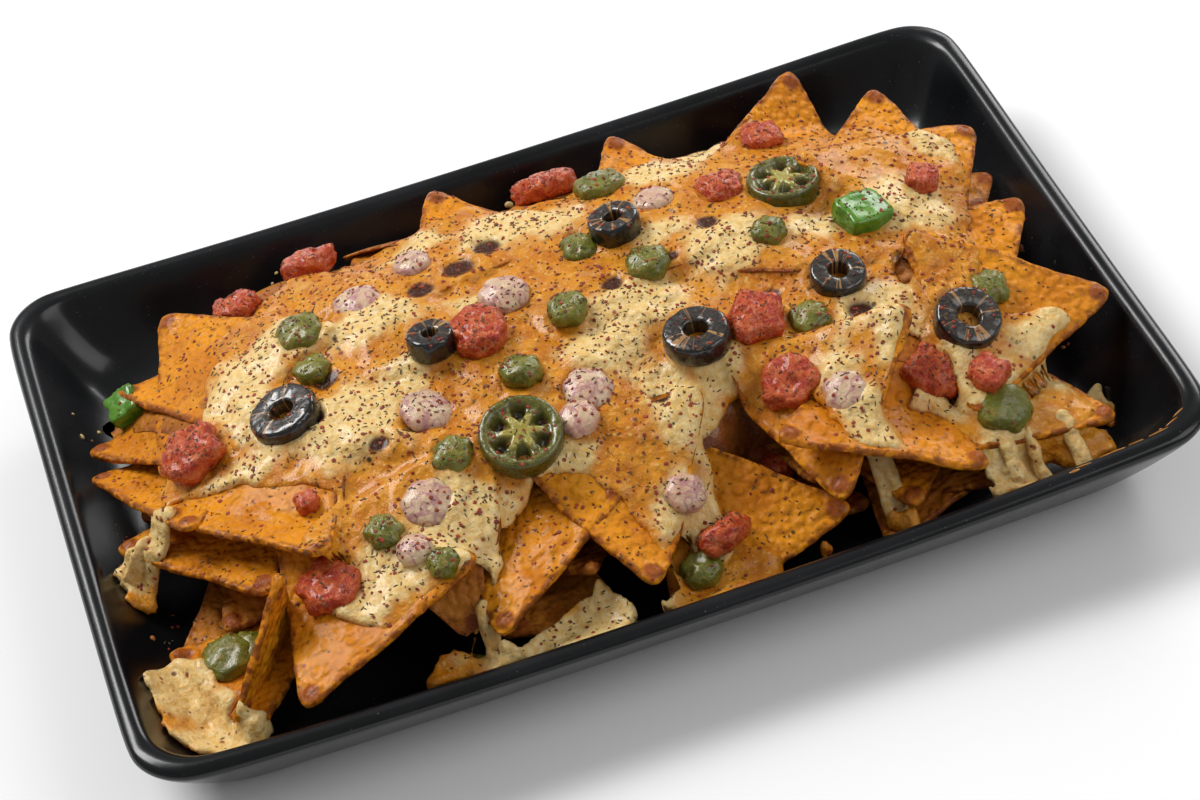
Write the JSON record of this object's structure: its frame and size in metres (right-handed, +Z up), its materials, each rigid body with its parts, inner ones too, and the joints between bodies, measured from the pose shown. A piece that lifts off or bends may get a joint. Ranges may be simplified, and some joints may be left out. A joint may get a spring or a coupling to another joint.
{
  "type": "tray of baked nachos",
  "caption": "Rectangular black tray holding a heap of triangular corn chips under melted cheese, with olive, chilli, tomato, onion and pepper pieces on top.",
  "frame": {"origin": "centre of the tray's footprint, on the surface that it stands on", "axes": "+X along the long side of the tray, to the right as the diner sees it; +Y away from the diner; +Z up"},
  "size_m": [0.26, 0.176, 0.0525],
  "materials": {
    "tray_glaze": "gloss black glaze with fine grease spots",
    "tortilla": "orange fried corn chip, bumpy, oily, toasted at the corners",
    "chip_bed": "shaded lower corn chips",
    "cheese": "melted cheese, cream where thick and orange where thin, oily",
    "olive": "black olive, glossy outside, duller cut faces",
    "pickled_chilli": "pickled chilli slice, olive green",
    "tomato": "wet tomato flesh",
    "onion": "pale onion with purple edges",
    "green_pepper": "soft green pepper, wet"
  },
  "bodies": {
    "root": {"chip_arch": "tortilla", "chip_back_four": "tortilla", "chip_back_one": "tortilla", "chip_back_right": "tortilla", "chip_back_three": "tortilla", "chip_back_two": "tortilla", "chip_bed": "chip_bed", "chip_corner_low": "tortilla", "chip_front_left": "tortilla", "chip_front_low": "tortilla", "chip_front_middle": "tortilla", "chip_front_right": "tortilla", "chip_front_small": "tortilla", "chip_left_high": "tortilla", "chip_left_lower": "tortilla", "chip_left_one": "tortilla", "chip_left_three": "tortilla", "chip_left_two": "tortilla", "chip_left_upper": "tortilla", "chip_on_edge": "tortilla", "chip_pocket": "tortilla", "chip_right": "tortilla", "chip_right_low": "tortilla", "chip_right_small": "tortilla", "green_pepper_01": "green_pepper", "green_pepper_02": "green_pepper", "green_pepper_03": "green_pepper", "green_pepper_04": "green_pepper", "green_pepper_05": "green_pepper", "green_pepper_06": "green_pepper", "green_pepper_07": "green_pepper", "green_pepper_08": "green_pepper", "green_pepper_09": "green_pepper", "melted_cheese": "cheese", "olive_01": "olive", "olive_02": "olive", "olive_03": "olive", "olive_04": "olive", "olive_05": "olive", "olive_06": "olive", "onion_01": "onion", "onion_02": "onion", "onion_03": "onion", "onion_04": "onion", "onion_05": "onion", "onion_06": "onion", "pickled_chilli_01": "pickled_chilli", "pickled_chilli_02": "pickled_chilli", "tomato_01": "tomato", "tomato_02": "tomato", "tomato_03": "tomato", "tomato_04": "tomato", "tomato_05": "tomato", "tomato_06": "tomato", "tomato_07": "tomato", "tomato_08": "tomato", "tomato_09": "tomato", "tomato_10": "tomato", "tomato_11": "tomato", "tray": "tray_glaze"}
  },
  "joints": []
}
